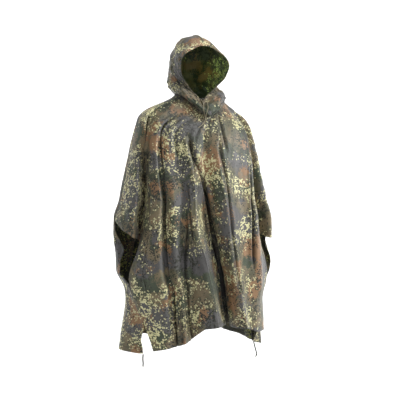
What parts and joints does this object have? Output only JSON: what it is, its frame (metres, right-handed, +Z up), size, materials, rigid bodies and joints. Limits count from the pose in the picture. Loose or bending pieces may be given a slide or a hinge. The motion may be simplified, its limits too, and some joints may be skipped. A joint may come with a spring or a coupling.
{
  "type": "rain poncho",
  "caption": "Hooded rain poncho in camouflage cloth, worn on the shoulders with the hood up, open at hem, arms and face, with drawcord and ties.",
  "frame": {"origin": "on the body's axis at the height of the neck, where the wearer's shoulders carry the cloth", "axes": "+Z up, the face opening of the hood looks along -Y, the wearer's right side is -X"},
  "size_m": [0.727, 0.4764, 1.3768],
  "materials": {
    "front": "coated camouflage cloth",
    "back": "coated camouflage cloth",
    "hood": "coated camouflage cloth",
    "hood_hem": "coated camouflage cloth, stitched",
    "drawcord": "braided cord",
    "tie": "braided cord"
  },
  "bodies": {
    "root": {"front_panel": "front", "back_panel": "back", "hood_right": "hood", "hood_left": "hood", "hood_hem_right": "hood_hem", "hood_hem_left": "hood_hem", "drawcord_right": "drawcord", "drawcord_left": "drawcord", "corner_tie_right": "tie", "corner_tie_left": "tie"}
  },
  "joints": []
}
